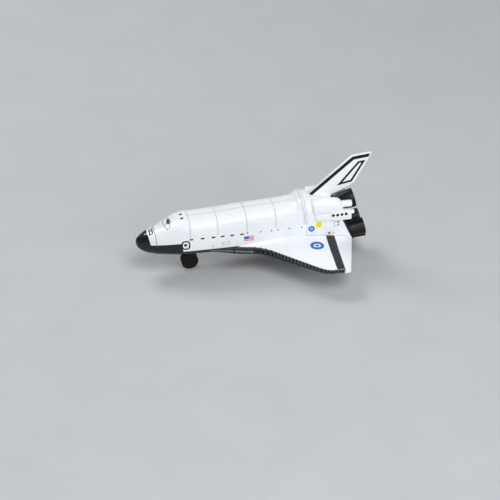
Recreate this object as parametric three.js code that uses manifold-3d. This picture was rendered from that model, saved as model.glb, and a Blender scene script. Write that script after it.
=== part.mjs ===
// Die-cast toy space shuttle on three free-turning wheels, in millimetres.
// The nose points to -Y, the craft's left (port) side to +X, up is +Z.
// The origin is on the ground, under the middle of the toy's length.
// White metal shell, wings and fin; black plastic base, nose cap and ribbed leading edges.
import * as THREE from 'three';
import { mergeVertices } from 'three/addons/utils/BufferGeometryUtils.js';
import Module from 'manifold-3d';

const wasm = await Module();
wasm.setup();

// Driving dimensions
const SEAM = 0.3; // running line between two mouldings
const HALF_WIDTH = 9.8; // fuselage side to centre plane
const BELLY = 11.5; // flat underside above the ground
const LEAN_LEVEL = 22; // height at which a leaning section has its stated y

const AFT_Y = 46; // fuselage's aft face, which leans forward
const AFT_LEAN = -0.456;

const CAP_SEAM_Y = -54.9; // nose cap joint, at the height below
const CAP_SEAM_LEVEL = 18.9;
const CAP_SEAM_LEAN = -0.23;
const CHIN_TOP_FRONT = 18.9; // black chin under the white nose, at the cap
const CHIN_TOP_REAR = 20.1; // and at its rear end
const SHELL_LOW = 15.2; // lower edge of the white side
const ROOT_LOW = 13.4; // and behind this place, where the wing's root is lower
const ROOT_STEP_Y = 36;
const CHIN_END_TOP_Y = -39.7; // where the white side steps down, leaning forward at its top
const CHIN_END_LOW_Y = -38.6;

const WHEEL_RADIUS = 4.45;
const MAIN_WHEEL_WIDTH = 3.4;
const NOSE_WHEEL_WIDTH = 1.3;
const WHEEL_WALL = 0.5; // outer wall that closes the axle bore
const AXLE_RADIUS = 0.6;
const BORE_RADIUS = 0.9;
const AXLE_PLAY = 0.1;
const HUB_RADIUS = 1.2; // raised middle of a wheel's face
const DISH_RADIUS = 2.9; // sunken ring round it
const STEP_WIDTH = 0.2;
const DISH_SHARE = 0.15; // depth of the ring against the wheel's width
const SHOULDER_SHARE = 0.24;
const NOSE_WHEEL_X = 1.4;
const NOSE_WHEEL_Y = -34.1;
const MAIN_WHEEL_X = 9.8;
const MAIN_WHEEL_Y = 24.4;
const LEG_GAP = 0.25; // leg to wheel
const LEG_LENGTH = 2.8; // along the toy
const LEG_TAPER = 0.85; // round end's radius against half the leg's length
const MAIN_LEG_THICKNESS = 1.2;
const FOOT_LENGTH = 5;
const FOOT_THICKNESS = 1.4;
const NOSE_FOOT_HALF = 2;
const MAIN_FOOT_WIDTH = 2.8;

const FIN_THICKNESS = 1.7;
const FIN_SLOT_FRONT = 28.9;
const FIN_SLOT_FLOOR = 33;

const FLAP_HALF_WIDTH = 6.5;
const FLAP_FRONT_Y = 49.6;
const FLAP_BEND_Y = 50.9;
const FLAP_END_Y = 58.7;
const FLAP_TOP = 11.1; // as far as the bend, under the edge of the belly
const FLAP_END_TOP = 11.65;
const FLAP_THICKNESS = 0.5;
const RIVET_RADIUS = 1.9;
const RIVET_HEIGHT = 0.5;

const material = (colour, roughness, metalness) =>
  new THREE.MeshStandardMaterial({ color: colour, roughness, metalness });
const whiteEnamel = material(0xf1f4f8, 0.28, 0.0);
const blackPlastic = material(0x1c1c1e, 0.35, 0.0);
const darkPlastic = material(0x2c2c2e, 0.5, 0.0);
const wheelPlastic = material(0x171717, 0.6, 0.0);
const steel = material(0xb5b8bc, 0.3, 1.0);

const { sin, cos, PI } = Math;
const mix = THREE.MathUtils.lerp;

// A closed geometry from rings of equal length, each joined to the next and both ends capped.
function loft(rings) {
  const count = rings[0].length;
  const index = [];
  for (let r = 0; r < rings.length - 1; r++) {
    for (let i = 0; i < count; i++) {
      const a = r * count + i;
      const b = r * count + (i + 1) % count;
      index.push(a, b, b + count, a, b + count, a + count);
    }
  }
  const last = (rings.length - 1) * count;
  for (let i = 1; i < count - 1; i++) {
    index.push(0, i + 1, i, last, last + i, last + i + 1);
  }
  return outward(new THREE.BufferGeometry().setFromPoints(rings.flat()).setIndex(index));
}

// Turns a closed geometry's faces outward where its signed volume is negative.
function outward(geometry) {
  const at = geometry.attributes.position;
  const index = geometry.index.array;
  const [a, b, c] = [new THREE.Vector3(), new THREE.Vector3(), new THREE.Vector3()];
  let volume = 0;
  for (let i = 0; i < index.length; i += 3) {
    a.fromBufferAttribute(at, index[i]);
    b.fromBufferAttribute(at, index[i + 1]);
    c.fromBufferAttribute(at, index[i + 2]);
    volume += a.dot(b.cross(c));
  }
  if (volume < 0) index.reverse();
  return geometry;
}

// Only positions, shared vertices merged, and no triangle with a repeated corner.
function weld(geometry) {
  geometry.deleteAttribute('normal');
  geometry.deleteAttribute('uv');
  const merged = mergeVertices(geometry, 1e-5);
  const from = merged.index.array;
  const kept = [];
  for (let i = 0; i < from.length; i += 3) {
    const [a, b, c] = [from[i], from[i + 1], from[i + 2]];
    if (a !== b && b !== c && c !== a) kept.push(a, b, c);
  }
  merged.setIndex(kept);
  return merged;
}

function solid(geometry) {
  const closed = outward(weld(geometry));
  return new wasm.Manifold(new wasm.Mesh({
    numProp: 3,
    vertProperties: new Float32Array(closed.attributes.position.array),
    triVerts: new Uint32Array(closed.index.array),
  }));
}

function surface(manifold) {
  const { vertProperties, triVerts } = manifold.getMesh();
  const geometry = new THREE.BufferGeometry();
  geometry.setAttribute('position', new THREE.BufferAttribute(vertProperties, 3));
  return geometry.setIndex(Array.from(triVerts));
}

// A slab with a side outline of [y, z] points, from x0 to x1.
function slab(outline, x0, x1) {
  const shape = new THREE.Shape(outline.map(([y, z]) => new THREE.Vector2(y, z)));
  const geometry = new THREE.ExtrudeGeometry(shape, { depth: x1 - x0, bevelEnabled: false });
  const turn = new THREE.Matrix4().makeBasis(
    new THREE.Vector3(0, 1, 0), new THREE.Vector3(0, 0, 1), new THREE.Vector3(1, 0, 0));
  return geometry.applyMatrix4(turn).translate(x0, 0, 0);
}

// Parts turned on a lathe lie along +X, from [radius, x] points.
function turned(profile, segments) {
  const geometry = new THREE.LatheGeometry(
    profile.map(([radius, along]) => new THREE.Vector2(radius, along)), segments);
  return outward(weld(geometry.rotateZ(-PI / 2)));
}

function block(x0, x1, y0, y1, z0, z1) {
  const geometry = new THREE.BoxGeometry(x1 - x0, y1 - y0, z1 - z0);
  return geometry.translate((x0 + x1) / 2, (y0 + y1) / 2, (z0 + z1) / 2);
}

// Fuselage, from nose to tail. Each section has a flat bottom, round lower corners,
// upright sides up to the spring line and a dome above it.
const bodySections = [
  // y, lean, half width, bottom, corner radius, spring line, ridge, squareness of the dome
  [-61.9, 0.00, 0.9, 17.4, 0.8, 18.4, 19.5, 2.0],
  [-61.1, 0.00, 2.2, 15.8, 1.8, 18.4, 20.6, 2.0],
  [-59.4, -0.03, 3.7, 14.2, 2.6, 18.5, 22.0, 2.1],
  [-56.5, -0.06, 5.3, 12.9, 3.6, 18.9, 23.6, 2.3],
  [-51.5, -0.05, 7.0, 12.1, 4.4, 20.0, 25.1, 2.6],
  [-45.5, -0.03, 8.5, 11.7, 5.0, 21.6, 28.0, 3.0],
  [-40.0, 0.00, 9.5, BELLY, 5.2, 23.4, 30.3, 3.1],
  [-35.0, 0.00, HALF_WIDTH, BELLY, 5.0, 24.6, 31.15, 3.1],
  [-34.4, 0.00, HALF_WIDTH, BELLY, 5.0, 24.6, 30.85, 3.1],
  [-20.0, 0.00, HALF_WIDTH, BELLY, 4.0, 24.8, 31.5, 3.1],
  [-10.5, 0.00, HALF_WIDTH, BELLY, 0.6, 25.0, 32.15, 3.2],
  [19.8, 0.00, HALF_WIDTH, BELLY, 0.6, 26.0, 33.9, 3.3],
  [22.6, -0.04, HALF_WIDTH, BELLY, 0.6, 26.6, 35.3, 3.5],
  [25.2, -0.10, HALF_WIDTH, BELLY, 0.6, 27.2, 36.3, 3.8],
  [28.6, -0.10, HALF_WIDTH, BELLY, 0.6, 27.2, 36.3, 3.6],
  [31.0, -0.13, HALF_WIDTH, BELLY, 0.6, 26.0, 36.0, 2.6],
  [AFT_Y, AFT_LEAN, HALF_WIDTH, BELLY, 0.6, 26.0, 35.2, 2.2],
];
const CORNER_STEPS = 5;
const DOME_STEPS = 11;

function bodyRing([y, lean, halfWidth, low, corner, spring, ridge, square]) {
  const half = [];
  for (let i = 0; i <= CORNER_STEPS; i++) {
    const a = i / CORNER_STEPS * PI / 2;
    half.push([halfWidth - corner + corner * sin(a), low + corner - corner * cos(a)]);
  }
  for (let i = 0; i < DOME_STEPS; i++) {
    const a = i / DOME_STEPS * PI / 2;
    const rise = (ridge - spring) * sin(a) ** (2 / square);
    half.push([halfWidth * cos(a) ** (2 / square), spring + rise]);
  }
  const mirrored = half.map(([x, z]) => [-x, z]).reverse();
  return [...half, [0, ridge], ...mirrored]
    .map(([x, z]) => new THREE.Vector3(x, y + lean * (z - LEAN_LEVEL), z));
}

const capSeamY = (z) => CAP_SEAM_Y + CAP_SEAM_LEAN * (z - CAP_SEAM_LEVEL);
const BELOW = 5;
const ABOVE = 50;
const AHEAD = -70;
const BEHIND = 70;
const OUTSIDE = 30;

function bodyPart(outline) {
  return solid(loft(bodySections.map(bodyRing))).intersect(solid(slab(outline, -OUTSIDE, OUTSIDE)));
}

function noseCap() {
  return surface(bodyPart([
    [AHEAD, BELOW], [capSeamY(BELOW), BELOW], [capSeamY(ABOVE), ABOVE], [AHEAD, ABOVE]]));
}

// Manoeuvring pods beside the fin. Under each lies a band, set in a little, which ends in
// the thruster housing behind the pod.
const podSections = [
  // y, centre x, centre z, half width, height above the centre, depth below it
  [28.6, 6.6, 30.4, 2.9, 4.3, 2.1],
  [30.1, 7.0, 30.9, 3.7, 5.3, 2.8],
  [41.2, 7.1, 31.1, 3.7, 5.1, 2.9],
  [43.8, 7.1, 31.0, 3.4, 4.6, 2.8],
  [45.1, 7.1, 30.7, 2.6, 3.6, 2.4],
  [45.6, 7.1, 30.4, 1.6, 2.4, 1.7],
];
const POD_POINTS = 28;
const POD_LEAN = -0.12;
const POD_SQUARENESS = { above: 2.2, below: 3.6 };
const BAND_INNER_X = 6.4;
const HOUSING_INNER_X = 8.6;
const bandSections = [
  // y, inner x, outer x, low, top
  [30.3, BAND_INNER_X, 9.9, 25.8, 28.9],
  [31.4, BAND_INNER_X, 10.4, 24.9, 29.0],
  [37.5, BAND_INNER_X, 10.5, 24.6, 29.0],
  [40.5, BAND_INNER_X, 10.9, 24.4, 29.8],
  [45.4, BAND_INNER_X, 10.9, 24.4, 29.8],
  [45.9, HOUSING_INNER_X, 10.9, 24.4, 29.8],
  [49.5, HOUSING_INNER_X, 10.9, 24.4, 29.8],
];
const BAND_ROUND = 0.9;
const NOZZLE = { x: 7.1, z: 32.2, radius: 1.85, front: 40, end: 50.3 };
const THRUSTER = { x: 9.6, z: 28.5, radius: 1.1, front: 48, end: 51.1 };
const STUB_ROUND = 0.5;

function stub({ x, z, radius, front, end }) {
  const length = end - front;
  const profile = [[0, 0], [radius, 0], [radius, length - STUB_ROUND],
    [radius - 0.3 * STUB_ROUND, length - 0.3 * STUB_ROUND], [radius - STUB_ROUND, length], [0, length]];
  return turned(profile, 20).rotateZ(PI / 2).translate(x, front, z);
}

const power = (value, exponent) => Math.sign(value) * Math.abs(value) ** exponent;

function podRing([y, x, z, halfWidth, above, below]) {
  return Array.from({ length: POD_POINTS }, (_, i) => {
    const a = i / POD_POINTS * 2 * PI;
    const exponent = 2 / (sin(a) >= 0 ? POD_SQUARENESS.above : POD_SQUARENESS.below);
    const up = power(sin(a), exponent) * (sin(a) >= 0 ? above : below);
    return new THREE.Vector3(x + halfWidth * power(cos(a), exponent), y + POD_LEAN * up, z + up);
  });
}

function bandRing([y, inner, outer, low, top]) {
  const ring = [[inner, low]];
  for (const [z, start] of [[low + BAND_ROUND, -PI / 2], [top - BAND_ROUND, 0]]) {
    for (let i = 0; i <= 4; i++) {
      const a = start + i / 4 * PI / 2;
      ring.push([outer - BAND_ROUND + BAND_ROUND * cos(a), z + BAND_ROUND * sin(a)]);
    }
  }
  ring.push([inner, top]);
  return ring.map(([x, z]) => new THREE.Vector3(x, y, z));
}

function pod(side) {
  const mirror = new THREE.Matrix4().makeScale(side, 1, 1);
  const shapes = [loft(podSections.map(podRing)), loft(bandSections.map(bandRing)),
    stub(NOZZLE), stub(THRUSTER)];
  const pieces = shapes.map((shape) => solid(shape.applyMatrix4(mirror)));
  return pieces.reduce((whole, piece) => whole.add(piece));
}

function fuselage() {
  const shell = bodyPart([
    [capSeamY(CHIN_TOP_FRONT) + SEAM, CHIN_TOP_FRONT + SEAM / 2],
    [CHIN_END_TOP_Y + SEAM / 2, CHIN_TOP_REAR + SEAM / 2],
    [CHIN_END_LOW_Y + SEAM / 2, SHELL_LOW + SEAM / 2],
    [ROOT_STEP_Y + SEAM / 2, SHELL_LOW + SEAM / 2], [ROOT_STEP_Y + SEAM / 2, ROOT_LOW + SEAM / 2],
    [BEHIND, ROOT_LOW + SEAM / 2], [BEHIND, ABOVE], [capSeamY(ABOVE) + SEAM, ABOVE]]);
  const slotHalf = FIN_THICKNESS / 2 + SEAM;
  const slot = block(-slotHalf, slotHalf, FIN_SLOT_FRONT - SEAM, BEHIND, FIN_SLOT_FLOOR, ABOVE);
  return surface(shell.add(pod(1)).add(pod(-1)).subtract(solid(slot)));
}

function basePlate() {
  return surface(bodyPart([
    [capSeamY(BELOW) + SEAM, BELOW], [BEHIND, BELOW],
    [BEHIND, ROOT_LOW - SEAM / 2], [ROOT_STEP_Y - SEAM / 2, ROOT_LOW - SEAM / 2],
    [ROOT_STEP_Y - SEAM / 2, SHELL_LOW - SEAM / 2],
    [CHIN_END_LOW_Y - SEAM / 2, SHELL_LOW - SEAM / 2],
    [CHIN_END_TOP_Y - SEAM / 2, CHIN_TOP_REAR - SEAM / 2],
    [capSeamY(CHIN_TOP_FRONT) + SEAM, CHIN_TOP_FRONT - SEAM / 2]]));
}

// Leading edge in plan: matching stretches of its outer edge and of the edge it shares
// with the white wing. A middle point makes the stretch a curve.
const evenly = (count) => Array.from({ length: count }, (_, i) => (i + 0.5) / count);
const edgeStretches = [
  // outer and inner [x, y] points, ribs as shares of the stretch, top and low at its start
  { outer: [[10.5, -25], [13.2, -10]], inner: [[10.1, -25], [10.1, -10]],
    ribs: [0.82], top: 15.05, low: 14.2 },
  { outer: [[13.2, -10], [14.4, -3.5]], inner: [[10.1, -10], [11.3, -3]],
    ribs: [], top: 14.9, low: BELLY },
  { outer: [[14.4, -3.5], [15.3, 1.3], [19.5, 5.8]], inner: [[11.3, -3], [12.6, 2.6], [17.2, 7.2]],
    ribs: evenly(4), top: 14.6, low: BELLY },
  { outer: [[19.5, 5.8], [37.6, 25]], inner: [[17.2, 7.2], [35.8, 26.6]],
    ribs: evenly(11), top: 14.3, low: BELLY },
  { outer: [[37.6, 25], [41, 28.7], [41, 33]], inner: [[35.8, 26.6], [38.9, 29.8], [39, 33.2]],
    ribs: evenly(4), top: 13.1, low: BELLY },
  { outer: [[41, 33], [41, 38.7]], inner: [[39, 33.2], [39, 38.7]], ribs: evenly(3), top: 12.8, low: BELLY },
];
const EDGE_END = { top: 12.7, low: BELLY };
const EDGE_POINTS = 8;
const RIB_RISE = 0.22;
const RIB_WIDTH = 0.5;
const ribSection = [
  // place across the rib's width, share of its rise
  [-0.5, 0],
  [-0.25, 1],
  [0.25, 1],
  [0.5, 0],
];

function stretchPoint(points, t) {
  const [a, b, c] = points.map(([x, y]) => new THREE.Vector2(x, y));
  return c ? new THREE.QuadraticBezierCurve(a, b, c).getPoint(t) : a.clone().lerp(b, t);
}

// Stations along the edge: outer and inner plan points, top and bottom height, rib or plain.
function edgeStations(withRibs) {
  const stations = [];
  edgeStretches.forEach(({ outer, inner, ribs, top, low }, k) => {
    const next = edgeStretches[k + 1] ?? EDGE_END;
    const length = stretchPoint(outer, 0).distanceTo(stretchPoint(outer, 1));
    const add = (t, rib) => stations.push({
      outer: stretchPoint(outer, t), inner: stretchPoint(inner, t),
      top: mix(top, next.top, t), low: mix(low, next.low, t), rib,
    });
    const steps = Math.max(1, ribs.length);
    for (let i = 0; i < steps; i++) {
      add(i / steps, 0);
      if (!withRibs || !ribs.length) continue;
      ribSection.forEach(([across, rise]) => add(ribs[i] + across * RIB_WIDTH / length, rise));
    }
    if (k === edgeStretches.length - 1) add(1, 0);
  });
  return stations;
}

function leadingEdge(side) {
  return loft(edgeStations(true).map(({ outer, inner, top, low, rib }) =>
    Array.from({ length: EDGE_POINTS + 1 }, (_, i) => {
      const a = PI / 2 - i / EDGE_POINTS * PI;
      const reach = cos(a) * (1 + rib * RIB_RISE / outer.distanceTo(inner));
      const at = inner.clone().lerp(outer, reach);
      const height = (top - low) / 2 + rib * RIB_RISE * sin(a) ** 2;
      return new THREE.Vector3(side * at.x, at.y, (top + low) / 2 + height * sin(a));
    })));
}

// White wing panel: sections across the span, from the edge piece back to the trailing edge.
const TRAIL = { rootY: 50.2, rootX: 10, sweep: 0.269, rootTop: 13.5, tipTop: 12.5, thickness: 0.9 };
const TIP_X = 41;
const TIP_CUT = 0.8; // corner taken off the tip
const CHORD_STEPS = 10;
const ROOT_RISE = 2.9;
const TIP_RISE = 0.35;
const GLOVE_START_Y = -10;
const trailY = (x) => TRAIL.rootY - TRAIL.sweep * (x - TRAIL.rootX);

function wingStations() {
  const front = edgeStations(false)
    .filter(({ inner }) => inner.y > GLOVE_START_Y - 0.001 && inner.y < 33.3)
    .map(({ outer, inner, top }) => {
      const away = inner.clone().sub(outer).setLength(SEAM);
      const root = inner.y < GLOVE_START_Y + 0.001;
      return { x: root ? HALF_WIDTH : inner.x + away.x, y: root ? inner.y : inner.y + away.y, top };
    });
  const step = edgeStretches.at(-1).outer[1][1] + SEAM;
  return [...front, { x: 38.8, y: step, top: 12.9 }, { x: 40.5, y: step, top: 12.75 },
    { x: TIP_X, y: step, top: 12.7, cut: TIP_CUT }];
}

function wing(side) {
  return loft(wingStations().map(({ x, y, top, cut = 0 }) => {
    const s = (x - HALF_WIDTH) / (TIP_X - HALF_WIDTH);
    const tail = trailY(x) - cut;
    const tailTop = mix(TRAIL.rootTop, TRAIL.tipTop, s);
    const chordShare = (tail - y) / (TRAIL.rootY - GLOVE_START_Y);
    const rise = (ROOT_RISE * (1 - s) ** 1.6 + TIP_RISE) * chordShare;
    const ring = [new THREE.Vector3(side * x, tail, tailTop - TRAIL.thickness),
      new THREE.Vector3(side * x, y, BELLY)];
    for (let i = 0; i <= CHORD_STEPS; i++) {
      const u = i / CHORD_STEPS;
      const z = mix(top, tailTop, u) + rise * sin(PI * u) ** 0.8;
      ring.push(new THREE.Vector3(side * x, mix(y, tail, u), z));
    }
    return ring;
  }));
}

function tailFin() {
  const outline = [
    [FIN_SLOT_FRONT, FIN_SLOT_FLOOR + SEAM], [FIN_SLOT_FRONT, 36.9], [51.6, 56.2], [61.9, 57.3],
    [61.9, 56.6], [53.2, 40.6], [51.6, 39.6], [47, 37.2], [41.4, 35.1], [40.2, FIN_SLOT_FLOOR + SEAM]];
  return slab(outline, -FIN_THICKNESS / 2, FIN_THICKNESS / 2);
}

// Engine plate on the leaning face behind the fuselage, with the three bells on it.
const aftFaceY = (z) => AFT_Y + AFT_LEAN * (z - LEAN_LEVEL);
const PLATE_THICKNESS = 1.2;
const plateSteps = [
  // low, top, half width: the upper step stands between the pods
  [11.7, 23.6, 8.6],
  [23.5, 32.6, 2.7],
];
const BELL_WALL = 0.55;
// Upward tilt in degrees, length, radii, and how far a share of the length has opened
const topBell = { tilt: 13, length: 11.2, throatRadius: 3.05, rimRadius: 5,
  opened: (share) => sin(Math.max(0, share - 0.15) / 0.85 * PI / 2) ** 0.7 };
const lowerBell = { tilt: 10, length: 9, throatRadius: 4, rimRadius: 4.5, opened: (share) => share ** 1.6 };
const bells = [
  { name: 'engine_bell_top', rim: [0, 53.2, 31.4], ...topBell },
  { name: 'engine_bell_left', rim: [5, 57.8, 16.6], ...lowerBell },
  { name: 'engine_bell_right', rim: [-5, 57.8, 16.6], ...lowerBell },
];
const BELL_STEPS = 9;
const BELL_FLOOR_STEP = 4; // step at which the hollow begins

// A slab that leans with the fuselage's aft face, between two distances behind it.
function leaningSlab(near, far, low, top, halfWidth) {
  return solid(slab([[aftFaceY(low) + near, low], [aftFaceY(low) + far, low],
    [aftFaceY(top) + far, top], [aftFaceY(top) + near, top]], -halfWidth, halfWidth));
}

function enginePlate() {
  const steps = plateSteps.map(([low, top, halfWidth]) =>
    leaningSlab(SEAM, SEAM + PLATE_THICKNESS, low, top, halfWidth));
  return surface(steps[0].add(steps[1]));
}

// A bell along +Y with the middle of its rim at the origin, set in place and cut to the plate.
function engineBell({ rim, tilt, length, throatRadius, rimRadius, opened }) {
  const outside = Array.from({ length: BELL_STEPS + 1 }, (_, i) =>
    [mix(throatRadius, rimRadius, opened(i / BELL_STEPS)), length * i / BELL_STEPS]);
  const inside = outside.slice(BELL_FLOOR_STEP).reverse()
    .map(([radius, along]) => [radius - BELL_WALL, along]);
  const bell = turned([[0, 0], ...outside, ...inside, [0, inside.at(-1)[1]]], 32)
    .translate(-length, 0, 0).rotateZ(PI / 2).rotateX(tilt * PI / 180).translate(...rim);
  const ahead = leaningSlab(-OUTSIDE, PLATE_THICKNESS + 2 * SEAM, BELOW, ABOVE, OUTSIDE);
  return surface(solid(bell).subtract(ahead));
}

function bodyFlap() {
  const top = [[FLAP_FRONT_Y, FLAP_TOP], [FLAP_BEND_Y, FLAP_TOP], [FLAP_END_Y, FLAP_END_TOP]];
  const underside = top.map(([y, z]) => [y, z - FLAP_THICKNESS]).reverse();
  return surface(solid(slab([...top, ...underside], -FLAP_HALF_WIDTH, FLAP_HALF_WIDTH)));
}

// Running gear. Fixed steel axles run through the legs, and the wheels turn on their ends,
// in bores that are closed on the outer side.
function wheel(width, side) {
  const half = width / 2;
  const dish = DISH_SHARE * width;
  const shoulder = SHOULDER_SHARE * width;
  const tread = [[WHEEL_RADIUS - 0.5, half], [WHEEL_RADIUS - 0.12, half - 0.4 * shoulder],
    [WHEEL_RADIUS, half - shoulder]];
  const back = tread.map(([radius, along]) => [radius, -along]).reverse();
  const profile = [[0, half - 0.4 * dish], [HUB_RADIUS, half - 0.4 * dish],
    [HUB_RADIUS + STEP_WIDTH, half - dish], [DISH_RADIUS, half - dish],
    [DISH_RADIUS + STEP_WIDTH, half - 0.1 * dish], ...tread, ...back,
    [BORE_RADIUS, -half], [BORE_RADIUS, half - WHEEL_WALL - dish], [0, half - WHEEL_WALL - dish]];
  const geometry = turned(profile, 36);
  return side < 0 ? geometry.rotateZ(PI) : geometry;
}

// An axle ends a little short of the wall that closes each wheel's bore.
function axle(wheelX, wheelWidth) {
  const end = wheelX + wheelWidth * (0.5 - DISH_SHARE) - WHEEL_WALL - AXLE_PLAY;
  return turned([[0, -end], [AXLE_RADIUS, -end], [AXLE_RADIUS, end], [0, end]], 16);
}

// A flat leg from the underside down round the axle, with a foot against the belly.
function gearLeg(y, [legX0, legX1], [footX0, footX1]) {
  const half = LEG_LENGTH / 2;
  const outline = [[y + half, BELLY], [y - half, BELLY]];
  for (let i = 0; i <= 8; i++) {
    const a = PI + i / 8 * PI;
    outline.push([y + LEG_TAPER * half * cos(a), WHEEL_RADIUS + LEG_TAPER * half * sin(a)]);
  }
  const foot = block(footX0, footX1, y - FOOT_LENGTH / 2, y + FOOT_LENGTH / 2,
    BELLY - FOOT_THICKNESS, BELLY);
  const hole = turned([[0, -OUTSIDE], [BORE_RADIUS, -OUTSIDE],
    [BORE_RADIUS, OUTSIDE], [0, OUTSIDE]], 16);
  return surface(solid(slab(outline, legX0, legX1)).add(solid(foot))
    .subtract(solid(hole.translate(0, y, WHEEL_RADIUS))));
}

const NOSE_LEG_HALF = NOSE_WHEEL_X - NOSE_WHEEL_WIDTH / 2 - LEG_GAP;
const MAIN_LEG_OUTER = MAIN_WHEEL_X - MAIN_WHEEL_WIDTH / 2 - LEG_GAP;

function noseLeg() {
  return gearLeg(NOSE_WHEEL_Y, [-NOSE_LEG_HALF, NOSE_LEG_HALF], [-NOSE_FOOT_HALF, NOSE_FOOT_HALF]);
}

function mainLeg(side) {
  const span = (width) => [side * MAIN_LEG_OUTER, side * (MAIN_LEG_OUTER - width)].sort((a, b) => a - b);
  return gearLeg(MAIN_WHEEL_Y, span(MAIN_LEG_THICKNESS), span(MAIN_FOOT_WIDTH));
}

function rivet() {
  return turned([[0, 0], [RIVET_RADIUS, 0], [RIVET_RADIUS, 0.2], [RIVET_RADIUS - 0.4, RIVET_HEIGHT],
    [0, RIVET_HEIGHT]], 20).rotateY(PI / 2);
}

const shuttle = new THREE.Group();

function place(name, geometry, finish, x = 0, y = 0, z = 0) {
  const mesh = new THREE.Mesh(weld(geometry), finish);
  mesh.name = name;
  mesh.position.set(x, y, z);
  shuttle.add(mesh);
  return mesh;
}

place('nose_cap', noseCap(), blackPlastic);
place('fuselage', fuselage(), whiteEnamel);
place('base_plate', basePlate(), blackPlastic);
place('tail_fin', tailFin(), whiteEnamel);
for (const [hand, side] of [['left', 1], ['right', -1]]) {
  place(`wing_${hand}`, wing(side), whiteEnamel);
  place(`leading_edge_${hand}`, leadingEdge(side), blackPlastic);
  place(`main_gear_leg_${hand}`, mainLeg(side), blackPlastic);
  place(`main_wheel_${hand}`, wheel(MAIN_WHEEL_WIDTH, side), wheelPlastic,
    side * MAIN_WHEEL_X, MAIN_WHEEL_Y, WHEEL_RADIUS);
  place(`nose_wheel_${hand}`, wheel(NOSE_WHEEL_WIDTH, side), wheelPlastic,
    side * NOSE_WHEEL_X, NOSE_WHEEL_Y, WHEEL_RADIUS);
}
place('engine_plate', enginePlate(), blackPlastic);
for (const bell of bells) place(bell.name, engineBell(bell), darkPlastic);
place('body_flap', bodyFlap(), blackPlastic);
place('nose_gear_leg', noseLeg(), blackPlastic);
place('nose_axle', axle(NOSE_WHEEL_X, NOSE_WHEEL_WIDTH), steel, 0, NOSE_WHEEL_Y, WHEEL_RADIUS);
place('main_axle', axle(MAIN_WHEEL_X, MAIN_WHEEL_WIDTH), steel, 0, MAIN_WHEEL_Y, WHEEL_RADIUS);
for (const [name, y] of [['rivet_front', -20], ['rivet_rear', 34]]) {
  place(name, rivet(), steel, 0, y, BELLY);
}

export default shuttle;
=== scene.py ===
import math
from bisect import bisect_right

import bmesh
import bpy
from mathutils import Matrix, Vector
from mathutils.bvhtree import BVHTree


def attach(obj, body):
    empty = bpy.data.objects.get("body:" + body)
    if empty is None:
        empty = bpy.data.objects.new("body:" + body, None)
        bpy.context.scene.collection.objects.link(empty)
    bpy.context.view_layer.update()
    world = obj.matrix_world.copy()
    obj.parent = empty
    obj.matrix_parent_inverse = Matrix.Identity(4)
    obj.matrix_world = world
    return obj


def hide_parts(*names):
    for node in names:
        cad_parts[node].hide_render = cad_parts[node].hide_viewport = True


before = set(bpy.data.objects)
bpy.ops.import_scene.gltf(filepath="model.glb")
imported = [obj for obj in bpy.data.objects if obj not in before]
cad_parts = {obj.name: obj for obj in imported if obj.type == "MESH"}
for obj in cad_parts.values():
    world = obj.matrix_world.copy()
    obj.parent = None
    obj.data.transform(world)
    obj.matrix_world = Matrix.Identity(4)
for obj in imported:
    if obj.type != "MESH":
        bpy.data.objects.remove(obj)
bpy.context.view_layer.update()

MM = 0.001
LINE = 0.05  # the hairline that shows where two mouldings meet
MERGE = 0.001  # points closer than this become one
AIRFRAME = "airframe"

# Driving sizes of the body
NOSE_TIP_Y = -61.9
HALF_WIDTH = 9.8
BELLY = 11.5
LEAN_LEVEL = 22  # height at which a leaning section keeps its own y
AFT_Y = 46
AFT_LEAN = -0.456
CAP_SEAM_Y, CAP_SEAM_LEVEL, CAP_SEAM_LEAN = -54.9, 18.9, -0.23
CHIN_TOP_FRONT, CHIN_TOP_REAR = 18.9, 20.1
SHELL_LOW, ROOT_LOW, ROOT_STEP_Y = 15.2, 13.4, 36  # the shell's lower edge, and its step aft
CHIN_END_TOP_Y, CHIN_END_LOW_Y = -39.7, -38.6
BELOW, ABOVE, AHEAD, BEHIND, OUTSIDE = 5, 60, -70, 75, 60  # clear of the toy on each side


# Camera

# The photograph's viewing angle, worked out from straight edges in it
CAMERA_PLACE = (0.84231, -0.18087, 0.52961)
CAMERA_AZIMUTH, CAMERA_ELEVATION = 78, 31.3
CAMERA_LENS, CAMERA_SENSOR = 138.96, 36


def camera():
    """Stands where the photograph was taken from, with its lens."""
    data = bpy.data.cameras.new("camera")
    data.lens, data.sensor_width = CAMERA_LENS, CAMERA_SENSOR
    made = bpy.data.objects.new("camera", data)
    bpy.context.scene.collection.objects.link(made)
    a, e = math.radians(CAMERA_AZIMUTH), math.radians(CAMERA_ELEVATION)
    back = Vector((math.sin(a) * math.cos(e), -math.cos(a) * math.cos(e), math.sin(e)))
    made.location = CAMERA_PLACE
    made.rotation_mode = "QUATERNION"
    made.rotation_quaternion = (-back).to_track_quat("-Z", "Y")
    bpy.context.scene.camera = made


# Materials

def srgb(colour):
    """An sRGB hex colour as linear RGBA."""
    channels = [int(colour[i:i + 2], 16) / 255 for i in (1, 3, 5)]
    return [c / 12.92 if c <= 0.04045 else ((c + 0.055) / 1.055) ** 2.4 for c in channels] + [1]


def add(tree, kind, inputs=(), **settings):
    """Adds a shader node with its settings. An input is a value or another node's socket."""
    made = tree.nodes.new(kind)
    for name, value in settings.items():
        setattr(made, name, value)
    for name, value in dict(inputs).items():
        if isinstance(value, bpy.types.NodeSocket):
            tree.links.new(value, made.inputs[name])
        else:
            made.inputs[name].default_value = value
    return made


NOISE_LOW, NOISE_HIGH = 0.3, 0.7  # nearly all of the noise lies between these
SHEEN_FINENESS = 3  # roughness drifts in patches this many times smaller than colour


def per_mm(size):
    """The texture scale that gives a pattern this size in millimetres."""
    return 1 / (size * MM)


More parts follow.
